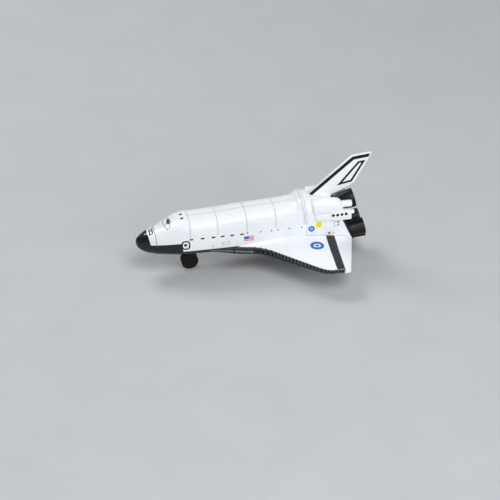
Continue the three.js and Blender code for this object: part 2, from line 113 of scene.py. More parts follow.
def varied(tree, place, size, low, high):
    """Noise of a size in millimetres, spread between two values."""
    noise = add(tree, "ShaderNodeTexNoise", {"Vector": place, "Scale": per_mm(size), "Detail": 3})
    spread = add(tree, "ShaderNodeMapRange", {
        "Value": noise.outputs["Fac"], "From Min": NOISE_LOW, "From Max": NOISE_HIGH,
        "To Min": low, "To Max": high})
    return spread.outputs["Result"]


def material(name, colours, roughness, tone_size, grain_size, grain_depth, **constants):
    """A finish whose colour and roughness drift a little and whose surface has a fine grain.
    The sizes and the depth are in millimetres."""
    made = bpy.data.materials.new(name)
    made.use_nodes = True
    tree = made.node_tree
    shader = tree.nodes["Principled BSDF"]
    place = add(tree, "ShaderNodeTexCoord").outputs["Object"]
    # A Mix node of colours keeps them at inputs 6 and 7, and the result at output 2
    tone = add(tree, "ShaderNodeMix", {0: varied(tree, place, tone_size, 0, 1)}, data_type="RGBA")
    tone.inputs[6].default_value, tone.inputs[7].default_value = [srgb(c) for c in colours]
    sheen = varied(tree, place, tone_size / SHEEN_FINENESS, *roughness)
    grain = add(tree, "ShaderNodeTexNoise", {
        "Vector": place, "Scale": per_mm(grain_size), "Detail": 2})
    bump = add(tree, "ShaderNodeBump", {
        "Height": grain.outputs["Fac"], "Distance": grain_depth * MM, "Strength": 1.0})
    tree.links.new(tone.outputs[2], shader.inputs["Base Color"])
    tree.links.new(sheen, shader.inputs["Roughness"])
    tree.links.new(bump.outputs["Normal"], shader.inputs["Normal"])
    for socket, value in constants.items():
        shader.inputs[socket.replace("_", " ")].default_value = value
    return made


# Stoving enamel on zinc casting: bright, slightly cool white, wet gloss with a faint orange peel
ENAMEL = material("stoving_enamel", ("#f6f9fd", "#f0f4f9"), (0.2, 0.3), 14, 0.9, 0.004,
                  Coat_Weight=0.4, Coat_Roughness=0.06, IOR=1.5, Specular_IOR_Level=0.25)
# Glossy moulded ABS: deep black with clean highlights and a slight flow pattern
BLACK_ABS = material("gloss_moulded_abs", ("#040405", "#080809"), (0.2, 0.32), 9, 0.5, 0.003,
                     Coat_Weight=0.6, Coat_Roughness=0.05, IOR=1.5, Specular_IOR_Level=0.25)
# Satin moulded ABS: dark grey-black with wide, soft highlights
SATIN_ABS = material("satin_moulded_abs", ("#070708", "#0c0c0d"), (0.34, 0.46), 8, 0.4, 0.006,
                     IOR=1.53, Specular_IOR_Level=0.3)
# Polypropylene of the wheels: dull black, a little paler where the mould was rougher
WHEEL_PP = material("wheel_polypropylene", ("#050505", "#0a0a0a"), (0.42, 0.56), 3, 0.3, 0.008,
                    IOR=1.49, Specular_IOR_Level=0.3)
# Drawn steel wire and rivet heads: bright metal with blurred reflections
STEEL = material("drawn_steel", ("#b4b6ba", "#a3a6ab"), (0.22, 0.36), 2, 0.2, 0.004, Metallic=1.0)


def ink(name, *colours):
    """Pad-printing ink: an even, slightly duller film than the enamel under it."""
    return material(name, colours, (0.4, 0.5), 2.5, 0.3, 0.002, IOR=1.5, Specular_IOR_Level=0.3)


# Dense black ink, a shade softer than the moulded black
BLACK_INK = ink("black_pad_ink", "#0e0d0f", "#151416")
# Mid grey ink of the fine lines
GREY_INK = ink("grey_pad_ink", "#8e9296", "#9a9ea2")
# Pale grey of the seam lines along the ridge and the wing roots, and painted shadow at the feet of
# the door beads
SEAM_AND_SHADOW_INK = ink("seam_and_painted_shadow_grey", "#a3a8ad", "#b0b5ba")
# Dark grey lines that only just part the black strip into tiles
TILE_INK = ink("tile_pad_ink", "#4c4e50", "#585a5c")
# Clear mid blue of the discs and canton
BLUE_INK = ink("blue_pad_ink", "#2a6fc4", "#2f78cc")
# Red a little thinned by the white under it
RED_INK = ink("red_pad_ink", "#d8405a", "#df4c62")
# Strong warm yellow
YELLOW_INK = ink("yellow_pad_ink", "#f6dc10", "#fbe41c")


# Making pieces

def piece(name, bm, finish, slot, *nodes, body=AIRFRAME, sharp=35):
    """Turns a bmesh into a piece that rides on a body and stands for the named nodes. Its edges
    are sharp where the faces turn by more than an angle."""
    bmesh.ops.remove_doubles(bm, verts=bm.verts, dist=MERGE)
    bmesh.ops.recalc_face_normals(bm, faces=bm.faces)
    bmesh.ops.scale(bm, vec=(MM,) * 3, verts=bm.verts)
    mesh = bpy.data.meshes.new(name)
    bm.to_mesh(mesh)
    bm.free()
    mesh.shade_smooth()
    mesh.set_sharp_from_angle(angle=math.radians(sharp))
    mesh.materials.append(finish)
    made = bpy.data.objects.new(name, mesh)
    bpy.context.scene.collection.objects.link(made)
    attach(made, body)
    if nodes:
        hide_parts(*nodes)


def loft(rings):
    """A closed skin through rings of equal length, grown edge loop by edge loop."""
    bm = bmesh.new()
    order = bm.verts.layers.int.new("order")
    start = bmesh.ops.create_circle(bm, cap_ends=True, segments=len(rings[0]), radius=1)["verts"]
    for i, vert in enumerate(start):
        vert[order] = i
        vert.co = rings[0][i]
    edges = bm.edges[:]
    for ring in rings[1:]:
        grown = bmesh.ops.extrude_edge_only(bm, edges=edges)["geom"]
        edges = [g for g in grown if isinstance(g, bmesh.types.BMEdge)]
        for vert in grown:
            if isinstance(vert, bmesh.types.BMVert):
                vert.co = ring[vert[order]]
    bmesh.ops.contextual_create(bm, geom=edges)
    return bm


def turned(profile, segments):
    """A shape turned about X from [radius, place along X] points."""
    bm = bmesh.new()
    verts = [bm.verts.new((along, 0, radius)) for radius, along in profile]
    edges = [bm.edges.new(pair) for pair in zip(verts, verts[1:])]
    bmesh.ops.spin(bm, geom=verts + edges, axis=(1, 0, 0), cent=(0, 0, 0), dvec=(0, 0, 0),
                   angle=2 * math.pi, steps=segments, use_merge=True, use_duplicate=False)
    bmesh.ops.remove_doubles(bm, verts=bm.verts, dist=MERGE / 2)
    bmesh.ops.recalc_face_normals(bm, faces=bm.faces)
    return bm


def quarter_turn(bm, axis):
    """Turns a shape by 90 degrees about an axis through the origin."""
    turn = Matrix.Rotation(math.pi / 2, 3, axis)
    bmesh.ops.rotate(bm, cent=(0, 0, 0), matrix=turn, verts=bm.verts)


def slab(outline, x0, x1):
    """A plate with a side outline of [y, z] points, from x0 to x1."""
    bm = bmesh.new()
    face = bm.faces.new([bm.verts.new((x0, y, z)) for y, z in outline])
    grown = bmesh.ops.extrude_face_region(bm, geom=[face])["geom"]
    moved = [g for g in grown if isinstance(g, bmesh.types.BMVert)]
    bmesh.ops.translate(bm, vec=(x1 - x0, 0, 0), verts=moved)
    bmesh.ops.recalc_face_normals(bm, faces=bm.faces)
    return bm


def combine(bm, other, operation):
    """The two shapes' INTERSECT or UNION."""
    holders = []
    for name, shape in (("shape", bm), ("other", other)):
        mesh = bpy.data.meshes.new(name)
        shape.to_mesh(mesh)
        shape.free()
        holders.append(bpy.data.objects.new(name, mesh))
        bpy.context.scene.collection.objects.link(holders[-1])
    cut = holders[0].modifiers.new("cut", "BOOLEAN")
    cut.object, cut.operation, cut.solver = holders[1], operation, "EXACT"
    made = bmesh.new()
    made.from_object(holders[0], bpy.context.evaluated_depsgraph_get())
    for holder in holders:
        bpy.data.meshes.remove(holder.data)
    return made


def round_edges(bm, width, angle=30):
    """Rounds the edges whose faces turn by more than an angle."""
    sharp = [e for e in bm.edges if e.is_manifold and e.calc_face_angle(0) > math.radians(angle)]
    bmesh.ops.bevel(bm, geom=sharp, offset=width, segments=3, affect="EDGES", profile=0.5,
                    material=-1, clamp_overlap=True)
    return bm


def softened(node):
    """A finer stand-in for a plain black plastic node: its own faces, with rounded edges."""
    bm = bmesh.new()
    bm.from_mesh(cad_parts[node].data)
    bmesh.ops.scale(bm, vec=(1 / MM,) * 3, verts=bm.verts)
    bmesh.ops.remove_doubles(bm, verts=bm.verts, dist=MERGE)
    bmesh.ops.dissolve_limit(bm, angle_limit=math.radians(1), verts=bm.verts, edges=bm.edges)
    piece(f"{node}_rounded", round_edges(bm, GEAR_ROUND), BLACK_ABS, "black_plastic", node)


def column(places, values):
    """A smooth curve through one column of a table that never overshoots it."""
    steps = [b - a for a, b in zip(places, places[1:])]
    slopes = [(b - a) / step for a, b, step in zip(values, values[1:], steps)]
    inner = [0 if a * b <= 0 else 2 * a * b / (a + b) for a, b in zip(slopes, slopes[1:])]
    tangents = [slopes[0], *inner, slopes[-1]]

    def at(place):
        k = max(0, min(bisect_right(places, place) - 1, len(steps) - 1))
        t = (place - places[k]) / steps[k]
        return ((1 + 2 * t) * (1 - t) ** 2 * values[k]
                + t * (1 - t) ** 2 * steps[k] * tangents[k]
                + t * t * (3 - 2 * t) * values[k + 1]
                + t * t * (t - 1) * steps[k] * tangents[k + 1])
    return at


def columns(table):
    """One smooth curve for each column after the first."""
    places, *rest = zip(*table)
    return [column(places, values) for values in rest]


def mix(a, b, t):
    """The value a share of the way from one number to another."""
    return a + (b - a) * t


# Body

BODY = columns([
    # y, lean, half width, bottom, corner radius, spring line, ridge, squareness of the dome
    (NOSE_TIP_Y, 0.00, 0.05, 18.0, 0.05, 18.4, 18.7, 2.0),
    (-61.78, 0.00, 0.9, 17.4, 0.8, 18.4, 19.5, 2.0),
    (-61.1, 0.00, 2.2, 15.8, 1.8, 18.4, 20.6, 2.0),
    (-59.4, -0.03, 3.7, 14.2, 2.6, 18.5, 22.0, 2.1),
    (-56.5, -0.06, 5.3, 12.9, 3.6, 18.9, 23.6, 2.3),
    (-51.5, -0.05, 7.0, 12.1, 4.4, 20.0, 25.1, 2.6),
    (-45.5, -0.03, 8.5, 11.7, 5.0, 21.6, 28.0, 3.0),
    (-40.0, 0.00, 9.5, BELLY, 5.2, 23.4, 30.3, 3.1),
    (-35.0, 0.00, HALF_WIDTH, BELLY, 5.0, 24.6, 31.15, 3.1),
    (-34.4, 0.00, HALF_WIDTH, BELLY, 5.0, 24.6, 30.85, 3.1),
    (-20.0, 0.00, HALF_WIDTH, BELLY, 4.0, 24.8, 31.5, 3.1),
    (-10.5, 0.00, HALF_WIDTH, BELLY, 0.6, 25.0, 32.15, 3.2),
    (19.8, 0.00, HALF_WIDTH, BELLY, 0.6, 26.0, 33.9, 3.3),
    (22.6, -0.04, HALF_WIDTH, BELLY, 0.6, 26.6, 35.3, 3.5),
    (25.2, -0.10, HALF_WIDTH, BELLY, 0.6, 27.2, 36.3, 3.8),
    (28.6, -0.10, HALF_WIDTH, BELLY, 0.6, 27.2, 36.3, 3.6),
    (31.0, -0.13, HALF_WIDTH, BELLY, 0.6, 26.0, 36.0, 2.6),
    (AFT_Y, AFT_LEAN, HALF_WIDTH, BELLY, 0.6, 26.0, 35.2, 2.2),
])
NOSE_END_Y = -34.4
NOSE_STATIONS, NOSE_CROWDING = 44, 1.8  # closer together towards the tip, where it turns fastest
BODY_STEP = 1.15
CORNER_STEPS = 8
DOME_STEPS = 26


def body_y(y, z):
    """Where a section's point at a height lies, given the section's lean."""
    return y + BODY[0](y) * (z - LEAN_LEVEL)


def dome_point(y, angle):
    """A point of the dome, from 0 degrees at the spring line to 90 at the ridge."""
    _, half_width, _, _, spring, ridge, square = [curve(y) for curve in BODY]
    a = math.radians(angle)
    x = half_width * max(0, math.cos(a)) ** (2 / square)
    z = spring + (ridge - spring) * math.sin(a) ** (2 / square)
    return Vector((x, body_y(y, z), z))


def body_ring(y):
    """A section: the rounded lower corner, the side and the dome, on both sides."""
    _, half_width, low, corner, *_ = [curve(y) for curve in BODY]
    half = []
    for i in range(CORNER_STEPS + 1):
        a = i / CORNER_STEPS * math.pi / 2
        z = low + corner - corner * math.cos(a)
        half.append(Vector((half_width - corner + corner * math.sin(a), body_y(y, z), z)))
    half += [dome_point(y, 90 * i / DOME_STEPS) for i in range(DOME_STEPS)]
    mirrored = [Vector((-p.x, p.y, p.z)) for p in reversed(half)]
    return [*half, dome_point(y, 90), *mirrored]


def body():
    """The whole body, from which the cap, shell and base plate are cut."""
    nose = [mix(NOSE_TIP_Y, NOSE_END_Y, (i / NOSE_STATIONS) ** NOSE_CROWDING)
            for i in range(NOSE_STATIONS)]
    count = round((AFT_Y - NOSE_END_Y) / BODY_STEP)
    rest = [mix(NOSE_END_Y, AFT_Y, i / count) for i in range(count + 1)]
    return loft([body_ring(y) for y in nose + rest])


def cap_seam(z):
    """Where the black cap ends at a height."""
    return CAP_SEAM_Y + CAP_SEAM_LEAN * (z - CAP_SEAM_LEVEL)


def nose_cap():
    """The black cap in front of the leaning seam."""
    outline = [(AHEAD, BELOW), (cap_seam(BELOW), BELOW), (cap_seam(ABOVE), ABOVE), (AHEAD, ABOVE)]
    bm = combine(body(), slab(outline, -OUTSIDE, OUTSIDE), "INTERSECT")
    piece("nose_cap_skin", bm, BLACK_ABS, "black_plastic", "nose_cap")


def shell():
    """The white body above the base plate and behind the cap."""
    outline = [
        (cap_seam(CHIN_TOP_FRONT) + LINE, CHIN_TOP_FRONT), (CHIN_END_TOP_Y, CHIN_TOP_REAR),
        (CHIN_END_LOW_Y, SHELL_LOW), (ROOT_STEP_Y, SHELL_LOW), (ROOT_STEP_Y, ROOT_LOW),
        (BEHIND, ROOT_LOW), (BEHIND, ABOVE), (cap_seam(ABOVE) + LINE, ABOVE)]
    bm = combine(body(), slab(outline, -OUTSIDE, OUTSIDE), "INTERSECT")
    piece("fuselage_shell", bm, ENAMEL, "white_enamel", "fuselage")


def base_plate():
    """The black chin and belly, a hairline away from the shell and cap."""
    outline = [
        (cap_seam(BELOW) + LINE, BELOW), (BEHIND, BELOW), (BEHIND, ROOT_LOW - LINE),
        (ROOT_STEP_Y - LINE, ROOT_LOW - LINE), (ROOT_STEP_Y - LINE, SHELL_LOW - LINE),
        (CHIN_END_LOW_Y - LINE, SHELL_LOW - LINE), (CHIN_END_TOP_Y - LINE, CHIN_TOP_REAR - LINE),
        (cap_seam(CHIN_TOP_FRONT) + LINE, CHIN_TOP_FRONT - LINE)]
    bm = combine(body(), slab(outline, -OUTSIDE, OUTSIDE), "INTERSECT")
    piece("base_plate_skin", bm, BLACK_ABS, "black_plastic", "base_plate")


# Pods beside the fin, with the band and thruster housing below each

POD = columns([
    # y, centre x, centre z, half width, height above the centre, depth below it
    (28.55, 6.6, 30.3, 0.3, 0.3, 0.3),
    (28.75, 6.65, 30.4, 2.4, 3.7, 1.8),
    (30.1, 7.0, 30.9, 3.7, 5.3, 2.8),
    (41.2, 7.1, 31.1, 3.7, 5.1, 2.9),
    (43.8, 7.1, 31.0, 3.4, 4.6, 2.8),
    (45.1, 7.1, 30.7, 2.6, 3.6, 2.4),
    (45.55, 7.1, 30.4, 1.6, 2.4, 1.7),
    (45.7, 7.1, 30.4, 0.3, 0.4, 0.3),
])
POD_START_Y, POD_END_Y = 28.55, 45.7
POD_STATIONS = 44
POD_POINTS = 56
POD_LEAN = -0.12
POD_SQUARENESS_ABOVE, POD_SQUARENESS_BELOW = 2.2, 3.6
BAND_INNER_X, HOUSING_INNER_X = 6.4, 8.6
BAND_TABLE = [
    # y, inner x, outer x, low, top
    (30.3, BAND_INNER_X, 9.9, 25.8, 28.9),
    (31.4, BAND_INNER_X, 10.4, 24.9, 29.0),
    (37.5, BAND_INNER_X, 10.5, 24.6, 29.0),
    (40.5, BAND_INNER_X, 10.9, 24.4, 29.8),
    (45.4, BAND_INNER_X, 10.9, 24.4, 29.8),
    (45.9, HOUSING_INNER_X, 10.9, 24.4, 29.8),
    (49.5, HOUSING_INNER_X, 10.9, 24.4, 29.8),
]
BAND = columns(BAND_TABLE)
BAND_STEPS = 5  # stations between two rows of the table
BAND_ROUND, BAND_ROUND_STEPS = 0.9, 6
SMALL_ROUND = 0.25  # on the band's ends and the engine plate
NOZZLE = {"x": 7.1, "z": 32.2, "radius": 1.85, "front": 40, "end": 50.3}
THRUSTER = {"x": 9.6, "z": 28.5, "radius": 1.1, "front": 48, "end": 51.1}
STUB_ROUND, STUB_ROUND_STEPS, STUB_SEGMENTS = 0.5, 4, 40


def signed_power(value, exponent):
    """A power that keeps the sign, for squarish rounds."""
    return math.copysign(abs(value) ** exponent, value)


def pod_ring(y):
    """A squarish oval section that leans back a little."""
    x, z, half_width, above, below = [curve(y) for curve in POD]
    ring = []
    for i in range(POD_POINTS):
        a = i / POD_POINTS * 2 * math.pi
        upper = math.sin(a) >= 0
        exponent = 2 / (POD_SQUARENESS_ABOVE if upper else POD_SQUARENESS_BELOW)
        up = signed_power(math.sin(a), exponent) * (above if upper else below)
        out = signed_power(math.cos(a), exponent) * half_width
        ring.append(Vector((x + out, y + POD_LEAN * up, z + up)))
    return ring


def band_ring(y):
    """A section of the band, flat inside and rounded outside."""
    inner, outer, low, top = [curve(y) for curve in BAND]
    ring = [(inner, low)]
    for z, start in ((low + BAND_ROUND, -math.pi / 2), (top - BAND_ROUND, 0)):
        for i in range(BAND_ROUND_STEPS + 1):
            a = start + i / BAND_ROUND_STEPS * math.pi / 2
            ring.append((outer - BAND_ROUND + BAND_ROUND * math.cos(a),
                         z + BAND_ROUND * math.sin(a)))
    ring.append((inner, top))
    return [Vector((x, y, z)) for x, z in ring]


def stub(size):
    """A short round nozzle pointing aft, with a rounded rim."""
    length, radius = size["end"] - size["front"], size["radius"]
    profile = [(0, 0), (radius, 0)]
    for i in range(STUB_ROUND_STEPS + 1):
        a = i / STUB_ROUND_STEPS * math.pi / 2
        profile.append((radius - STUB_ROUND + STUB_ROUND * math.cos(a),
                        length - STUB_ROUND + STUB_ROUND * math.sin(a)))
    profile.append((0, length))
    bm = turned(profile, STUB_SEGMENTS)
    quarter_turn(bm, "Z")
    bmesh.ops.translate(bm, vec=(size["x"], size["front"], size["z"]), verts=bm.verts)
    return bm


def pods():
    """Both pods. Gives their surfaces, for prints to lie on."""
    made = []
    for hand, side in (("left", 1), ("right", -1)):
        shares = [0.5 - 0.5 * math.cos(math.pi * i / POD_STATIONS)
                  for i in range(POD_STATIONS + 1)]
        pod = loft([pod_ring(mix(POD_START_Y, POD_END_Y, share)) for share in shares])
        rows = [row[0] for row in BAND_TABLE]
        stations = [mix(a, b, i / BAND_STEPS)
                    for a, b in zip(rows, rows[1:]) for i in range(BAND_STEPS)]
        band = loft([band_ring(y) for y in (*stations, rows[-1])])
        round_edges(band, SMALL_ROUND, 50)
        whole = combine(pod, band, "UNION")
        for size in (NOZZLE, THRUSTER):
            whole = combine(whole, stub(size), "UNION")
        bmesh.ops.scale(whole, vec=(side, 1, 1), verts=whole.verts)
        made.append(BVHTree.FromBMesh(whole))
        piece(f"pod_{hand}", whole, ENAMEL, "white_enamel")
    return made


# Wings and ribbed leading edges

EDGE = [
    # outer and inner plan points [x, y], ribs as shares of the stretch, top and low at its start
    {"outer": [(10.5, -25), (13.2, -10)], "inner": [(10.1, -25), (10.1, -10)],
     "ribs": [0.82], "top": 15.05, "low": 14.2},
    {"outer": [(13.2, -10), (14.4, -3.5)], "inner": [(10.1, -10), (11.3, -3)],
     "ribs": [], "top": 14.9, "low": BELLY},
    {"outer": [(14.4, -3.5), (15.3, 1.3), (19.5, 5.8)],
     "inner": [(11.3, -3), (12.6, 2.6), (17.2, 7.2)],
     "ribs": [(i + 0.5) / 4 for i in range(4)], "top": 14.6, "low": BELLY},
    {"outer": [(19.5, 5.8), (37.6, 25)], "inner": [(17.2, 7.2), (35.8, 26.6)],
     "ribs": [(i + 0.5) / 13 for i in range(13)], "top": 14.3, "low": BELLY},
    {"outer": [(37.6, 25), (41, 28.7), (41, 33)],
     "inner": [(35.8, 26.6), (38.9, 29.8), (39, 33.2)],
     "ribs": [(i + 0.5) / 4 for i in range(4)], "top": 13.1, "low": BELLY},
    {"outer": [(41, 33), (41, 38.7)], "inner": [(39, 33.2), (39, 38.7)],
     "ribs": [(i + 0.5) / 3 for i in range(3)], "top": 12.8, "low": BELLY},
]
EDGE_END = {"top": 12.7, "low": BELLY}
EDGE_POINTS = 20
EDGE_STEP = 0.12
RIB_RISE, RIB_WIDTH = 0.3, 0.85
RIB_FULLNESS = 0.6  # under 1 the rib's flanks are steep and its top is broad
TRAIL = {"root_y": 50.2, "root_x": 10, "sweep": 0.269,
         "root_top": 13.5, "tip_top": 12.5, "thickness": 0.9}
TIP_X = 41
TIP_ROUND, TIP_ROUND_STEPS = 0.8, 5
TIP_PANEL_X, TIP_PANEL_TOP, TIP_TOP = 38.8, 12.9, 12.75  # the panel behind the edge's aft end
TIP_PANEL_STEPS = 4
CHORD_STEPS = 36
ROOT_RISE, TIP_RISE = 2.9, 0.35  # how far the top swells over a straight line
RISE_FADE, RISE_FULLNESS = 1.6, 0.8  # how fast the swelling fades outwards, and its shape
GLOVE_START_Y = -10
NEAR = 0.001  # more than any rounding error
PANEL_STEP = 1.2


def plan_point(points, t):
    """A point on a straight stretch, or on a quadratic curve where it has a middle point."""
    places = [Vector(p) for p in points]
    while len(places) > 1:
        places = [a.lerp(b, t) for a, b in zip(places, places[1:])]
    return places[0]


def edge_stations(step):
    """Stations along the edge: outer and inner points, top, low and how far a rib rises there."""
    stations = []
    for k, stretch in enumerate(EDGE):
        following = EDGE[k + 1] if k + 1 < len(EDGE) else EDGE_END
        length = (plan_point(stretch["outer"], 1) - plan_point(stretch["outer"], 0)).length
        count = max(2, round(length / step))
        for i in range(count + (k == len(EDGE) - 1)):
            t = i / count
            away = min([abs(t - rib) * length for rib in stretch["ribs"]] + [RIB_WIDTH])
            rib = math.cos(min(1, away / (RIB_WIDTH / 2)) * math.pi / 2) ** RIB_FULLNESS
            station = {key: plan_point(stretch[key], t) for key in ("outer", "inner")}
            station |= {key: mix(stretch[key], following[key], t) for key in ("top", "low")}
            stations.append(station | {"rib": max(0, rib)})
    return stations


def edge_ring(station, side):
    """A half-round section of the leading edge, fuller where a rib stands."""
    outer, inner, rib = station["outer"], station["inner"], station["rib"]
    middle, half = (station["top"] + station["low"]) / 2, (station["top"] - station["low"]) / 2
    ring = []
    for i in range(EDGE_POINTS + 1):
        a = math.pi / 2 - i / EDGE_POINTS * math.pi
        reach = math.cos(a) * (1 + rib * RIB_RISE / (outer - inner).length)
        place = inner.lerp(outer, reach)
        height = half + rib * RIB_RISE * math.sin(a) ** 2
        ring.append(Vector((side * min(place.x, TIP_X), place.y, middle + height * math.sin(a))))
    return ring


def wing_stations():
    """Stations of the white panel along the span: x, front y, top height there, and how far the
    trailing edge is drawn in for the tip's rounding."""
    front = []
    for station in edge_stations(PANEL_STEP):
        inner, outer = station["inner"], station["outer"]
        if not GLOVE_START_Y - NEAR < inner.y < EDGE[-1]["inner"][0][1] + NEAR:
            continue
        away = (inner - outer).normalized() * LINE
        x, y = inner.x + away.x, inner.y + away.y
        if inner.y < GLOVE_START_Y + NEAR:
            x, y = HALF_WIDTH, inner.y
        front.append((x, y, station["top"], 0))
    edge_end_y = EDGE[-1]["outer"][1][1] + LINE
    round_x = TIP_X - TIP_ROUND
    tip = []
    for i in range(TIP_PANEL_STEPS + 1):
        t = i / TIP_PANEL_STEPS
        tip.append((mix(TIP_PANEL_X, round_x, t), edge_end_y, mix(TIP_PANEL_TOP, TIP_TOP, t), 0))
    for i in range(1, TIP_ROUND_STEPS + 1):
        a = i / TIP_ROUND_STEPS * math.pi / 2
        tip.append((round_x + TIP_ROUND * math.sin(a), edge_end_y, EDGE_END["top"],
                    TIP_ROUND - TIP_ROUND * math.cos(a)))
    return front + tip


def trail_y(x):
    """Where the trailing edge lies."""
    return TRAIL["root_y"] - TRAIL["sweep"] * (x - TRAIL["root_x"])


def wing_ring(station, side):
    """A fore-and-aft section: flat below, gently swelling on top."""
    x, y, top, cut = station
    s = (x - HALF_WIDTH) / (TIP_X - HALF_WIDTH)
    tail = trail_y(x) - cut
    tail_top = mix(TRAIL["root_top"], TRAIL["tip_top"], s)
    chord = (tail - y) / (TRAIL["root_y"] - GLOVE_START_Y)
    rise = ROOT_RISE * (1 - s) ** RISE_FADE * chord + TIP_RISE * chord
    ring = [Vector((side * x, tail, tail_top - TRAIL["thickness"])), Vector((side * x, y, BELLY))]
    for i in range(CHORD_STEPS + 1):
        u = i / CHORD_STEPS
        z = mix(top, tail_top, u) + rise * math.sin(math.pi * u) ** RISE_FULLNESS
        ring.append(Vector((side * x, mix(y, tail, u), z)))
    return ring


def wings():
    """Both wings, each a white panel and its black edge. Gives the panels' surfaces."""
    made = []
    for hand, side in (("left", 1), ("right", -1)):
        bm = loft([wing_ring(station, side) for station in wing_stations()])
        made.append(BVHTree.FromBMesh(bm))
        piece(f"wing_{hand}_panel", bm, ENAMEL, "white_enamel", f"wing_{hand}", sharp=40)
        bm = loft([edge_ring(station, side) for station in edge_stations(EDGE_STEP)])
        piece(f"leading_edge_{hand}_ribbed", bm, BLACK_ABS, "black_plastic", f"leading_edge_{hand}",
              sharp=60)
    return made


# Tail fin

FIN_THICKNESS = 1.7
FIN_ROUND = 0.3
FIN_OUTLINE = [
    (28.9, 33.3), (28.9, 36.9), (51.6, 56.2), (61.9, 57.3), (61.9, 56.6),
    (53.2, 40.6), (51.6, 39.6), (47, 37.2), (41.4, 35.1), (40.2, 33.3)]


def tail_fin():
    """The fin. Gives its surface."""
    bm = slab(FIN_OUTLINE, -FIN_THICKNESS / 2, FIN_THICKNESS / 2)
    round_edges(bm, FIN_ROUND, 60)
    made = [BVHTree.FromBMesh(bm)]
    piece("tail_fin_panel", bm, ENAMEL, "white_enamel", "tail_fin", sharp=50)
    return made


# Engines

BELLS = {
    # rim's centre, upward tilt in degrees, length, throat radius, rim radius
    "engine_bell_top": ((0, 53.2, 31.4), 13, 11.2, 3.05, 5),
    "engine_bell_left": ((5, 57.8, 16.6), 10, 9, 4, 4.5),
    "engine_bell_right": ((-5, 57.8, 16.6), 10, 9, 4, 4.5),
}
TOP_NECK = 0.15  # share of the top bell's length that stays a tube
TOP_FLARE, LOWER_FLARE = 0.7, 1.6  # the top bell opens early, the lower ones late
BELL_WALL = 0.55
BELL_STEPS, BELL_CROWDING, BELL_SEGMENTS = 30, 1.2, 96
LIP_ROUND, LIP_SHOULDER, LIP_CREST = 0.1, 0.14, 0.02  # across the lip, and back from the bell's end
PLATE_THICKNESS = 1.5
PLATE_STEPS = [(11.7, 23.6, 8.6), (23.5, 32.6, 2.7)]  # low, top, half width
CONE_START = 0.42  # share of the length at which the hollow begins


def aft_face(z):
    """Where the fuselage's leaning end lies at a height."""
    return AFT_Y + AFT_LEAN * (z - LEAN_LEVEL)


def engine_plate():
    """A stepped plate on the leaning face behind the fuselage."""
    steps = []
    for low, top, half_width in PLATE_STEPS:
        outline = [(aft_face(low) + LINE, low), (aft_face(low) + PLATE_THICKNESS, low),
                   (aft_face(top) + PLATE_THICKNESS, top), (aft_face(top) + LINE, top)]
        steps.append(round_edges(slab(outline, -half_width, half_width), SMALL_ROUND))
    bm = combine(*steps, "UNION")
    piece("engine_plate_moulding", bm, BLACK_ABS, "black_plastic", "engine_plate")


def engine_bell(name):
    """An open, thin-walled bell, trimmed where it meets the engine plate."""
    rim, tilt, length, throat, rim_radius = BELLS[name]

    def flare(t):
        if name != "engine_bell_top":
            return mix(throat, rim_radius, t ** LOWER_FLARE)
        opened = max(0, t - TOP_NECK) / (1 - TOP_NECK)
        return mix(throat, rim_radius, math.sin(opened * math.pi / 2) ** TOP_FLARE)
    shares = [(i / BELL_STEPS) ** BELL_CROWDING for i in range(BELL_STEPS)]
    outside = [(flare(t), length * t) for t in shares]
    outside[-1] = (outside[-1][0], min(outside[-1][1], length - LIP_SHOULDER))
    lip = [(rim_radius - LIP_ROUND, length - LIP_CREST),
           (rim_radius - BELL_WALL + LIP_ROUND, length - LIP_CREST)]
    inside = [(flare(t) - BELL_WALL, length * t) for t in reversed(shares) if t > CONE_START]
    inside[0] = (inside[0][0], min(inside[0][1], length - LIP_SHOULDER))
    bm = turned([(0, 0), *outside, *lip, *inside, (0, inside[-1][1])], BELL_SEGMENTS)
    place = (Matrix.Translation(rim) @ Matrix.Rotation(math.radians(tilt), 4, "X")
             @ Matrix.Rotation(math.pi / 2, 4, "Z") @ Matrix.Translation((-length, 0, 0)))
    bmesh.ops.transform(bm, matrix=place, verts=bm.verts)
    bmesh.ops.bisect_plane(bm, geom=bm.verts[:] + bm.edges[:] + bm.faces[:],
                           plane_co=(0, aft_face(LEAN_LEVEL) + PLATE_THICKNESS, LEAN_LEVEL),
                           plane_no=(0, 1, -AFT_LEAN), clear_inner=True)
    bmesh.ops.holes_fill(bm, edges=[e for e in bm.edges if e.is_boundary])
    piece(f"{name}_shell", bm, SATIN_ABS, "engine_plastic", name)


# Raised joint lines of the white shell

DOOR_LOW_FRONT, DOOR_LOW_REAR = 23.2, 24.1  # height at which the door ribs end
DOOR_RIBS = [-35.3, -20.9, -5.75, 9.45]
AFT_RIBS = [(25.0, 0.25), (26.3, 0.36)]  # y and radius of the double line behind the doors
DOOR_RIB_RADIUS = 0.32
SHADE_RADIUS, SHADE_AWAY = 0.2, 0.34  # the grey line of painted shadow at a bead's foot, and how far behind it lies
BEAD_SUNK = 0.05  # how far a bead's centre lies under the surface
BEAD_POINTS = 8
CROWN_LINE_END_Y, CROWN_LINE_RADIUS, CROWN_LINE_STEPS = 20.5, 0.14, 80
NOSE_LINE_Y, NOSE_LINE_LOW, NOSE_LINE_RADIUS = -52.2, CHIN_TOP_FRONT + 0.6, 0.22


def bead(points, radius):
    """A round bead along a path on the body, with closed ends."""
    rings = []
    for i, point in enumerate(points):
        tangent = (points[min(i + 1, len(points) - 1)] - points[max(i - 1, 0)]).normalized()
        out = Vector((point.x, 0, point.z - SHELL_LOW)).normalized()
        out = (out - out.dot(tangent) * tangent).normalized()
        across = tangent.cross(out)
        turns = [k / BEAD_POINTS * 2 * math.pi for k in range(BEAD_POINTS)]
        rings.append([point - BEAD_SUNK * out + radius * (math.cos(a) * out + math.sin(a) * across)
                      for a in turns])
    return loft(rings)


